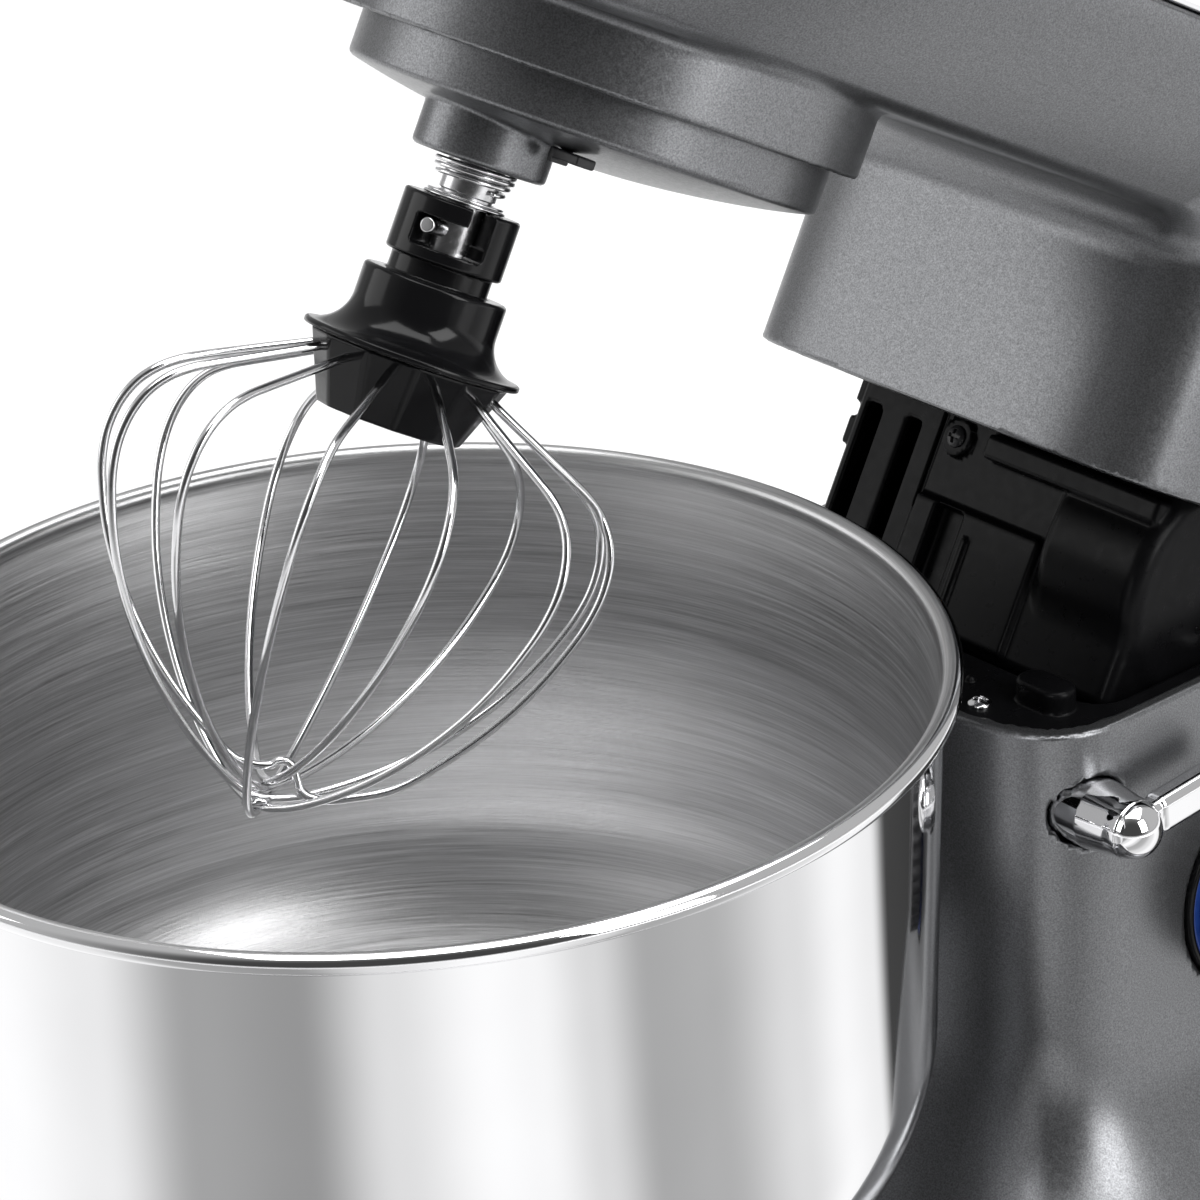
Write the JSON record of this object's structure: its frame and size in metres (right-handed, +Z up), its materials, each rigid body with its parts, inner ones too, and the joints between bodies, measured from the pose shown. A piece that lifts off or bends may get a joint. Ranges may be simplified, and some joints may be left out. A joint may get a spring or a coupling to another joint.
{
  "type": "stand mixer",
  "caption": "Tilt-head stand mixer with a steel mixing bowl, balloon whisk on a planetary drive, lift lever and side speed knob, head raised.",
  "frame": {"origin": "middle of the footprint's outer box, on the surface that the feet stand on", "axes": "+Z up, -Y towards the bowl and the front of the machine, +X towards the side with the lever and speed knob"},
  "size_m": [0.236, 0.4534, 0.4427],
  "materials": {
    "black_plastic": "glossy",
    "board_green": "satin",
    "brass": "satin",
    "bright_steel": "polished",
    "cast_alu": "cast",
    "copper_windings": "varnished windings",
    "dark_steel": "zinc plated",
    "gear_nylon": "satin",
    "light_blue": "translucent",
    "painted_casting": "satin metallic paint over a cast body",
    "rubber": "matte",
    "satin_plastic": "satin",
    "steel": "brushed"
  },
  "bodies": {
    "stand": {"stand_housing": "painted_casting", "base_cover": "satin_plastic", "base_screws": "steel", "suction_feet": "rubber", "bowl_seat": "dark_steel", "column_tray": "black_plastic", "tray_screws": "steel", "hinge_bracket": "dark_steel", "hinge_pin": "steel", "latch_bracket": "dark_steel", "lever_bushing": "satin_plastic", "knob_bezel": "black_plastic", "knob_light_ring": "light_blue", "speed_switch": "satin_plastic", "control_board": "board_green", "cord_gland": "rubber", "latch_spring": "steel"},
    "head": {"head_lower_shell": "painted_casting", "head_upper_shell": "painted_casting", "trim_band": "bright_steel", "neck_cover": "black_plastic", "neck_cover_screw": "steel", "hinge_arms": "dark_steel", "chassis_plate": "dark_steel", "gearbox_case": "cast_alu", "ring_gear": "dark_steel", "lower_bearing": "steel", "upper_bearing": "steel", "motor_stator": "dark_steel", "motor_top_bracket": "dark_steel", "motor_bottom_bracket": "dark_steel", "brush_holders": "brass", "drive_belt": "rubber", "chassis_screws": "steel"},
    "lever": {"lever_arm": "bright_steel", "lever_shaft": "steel"},
    "latch": {"latch_bolt": "steel"},
    "knob": {"speed_knob": "black_plastic", "knob_shaft": "steel"},
    "rotor": {"motor_rotor": "copper_windings", "motor_fan": "satin_plastic", "motor_pulley": "steel"},
    "countershaft": {"belt_pulley": "cast_alu", "counter_pinion": "steel"},
    "carrier": {"planetary_disc": "painted_casting", "centre_shaft": "steel", "main_gear": "gear_nylon", "disc_clip": "dark_steel"},
    "beater": {"beater_shaft": "bright_steel", "cross_pin": "bright_steel", "planet_gear": "steel", "shaft_spring": "steel", "shaft_washers": "steel"},
    "whisk": {"whisk_hub": "black_plastic", "wire_retainer": "black_plastic", "whisk_wires": "bright_steel"},
    "bowl": {"bowl": "bright_steel", "bowl_foot": "steel"}
  },
  "joints": [
    {"name": "head_tilt", "type": "hinge", "parent": "stand", "child": "head", "pos_m": [0, 0.12831, 0.147], "axis": [1, 0, 0], "range_deg": [0, 30]},
    {"name": "lever_turn", "type": "hinge", "parent": "stand", "child": "lever", "pos_m": [0.065, 0.03131, 0.149], "axis": [-1, 0, 0], "range_deg": [0, 70], "stiffness_Nm_per_rad": 0.15, "springref_deg": -22.92},
    {"name": "latch_slide", "type": "slide", "parent": "stand", "child": "latch", "axis": [0, -1, 0], "range_m": [0, 0.0041], "deforming": ["latch_spring"]},
    {"name": "knob_turn", "type": "hinge", "parent": "stand", "child": "knob", "pos_m": [0.0664, 0.08331, 0.112], "axis": [1, 0, 0], "range_deg": [-45, 225]},
    {"name": "carrier_spin", "type": "hinge", "parent": "head", "child": "carrier", "pos_m": [0, -0.04424, 0.32214], "axis": [0, 0.5, 0.866], "continuous": true},
    {"name": "beater_spin", "type": "hinge", "parent": "carrier", "child": "beater", "pos_m": [0.00341, -0.06831, 0.33603], "axis": [0, 0.5, 0.866], "continuous": true},
    {"name": "counter_spin", "type": "hinge", "parent": "head", "child": "countershaft", "pos_m": [0, 0.03248, 0.34251], "axis": [0, 0.5, 0.866], "continuous": true},
    {"name": "rotor_spin", "type": "hinge", "parent": "head", "child": "rotor", "pos_m": [0, 0.12666, 0.28813], "axis": [0, 0.5, 0.866], "continuous": true},
    {"name": "whisk_twist", "type": "hinge", "parent": "beater", "child": "whisk", "pos_m": [0.00341, -0.08641, 0.30468], "axis": [0, -0.5, -0.866], "range_deg": [0, 50]},
    {"name": "bowl_twist", "type": "hinge", "parent": "stand", "child": "bowl", "pos_m": [0, -0.10869, 0.04], "axis": [0, 0, 1], "range_deg": [0, 30]}
  ],
  "couplings": [
    {"joint": "latch_slide", "follows": "lever_turn", "m_per_rad": 0.003274},
    {"joint": "beater_spin", "follows": "carrier_spin", "ratio": -2.9048},
    {"joint": "counter_spin", "follows": "carrier_spin", "ratio": -4.7692},
    {"joint": "rotor_spin", "follows": "carrier_spin", "ratio": -22.654}
  ]
}
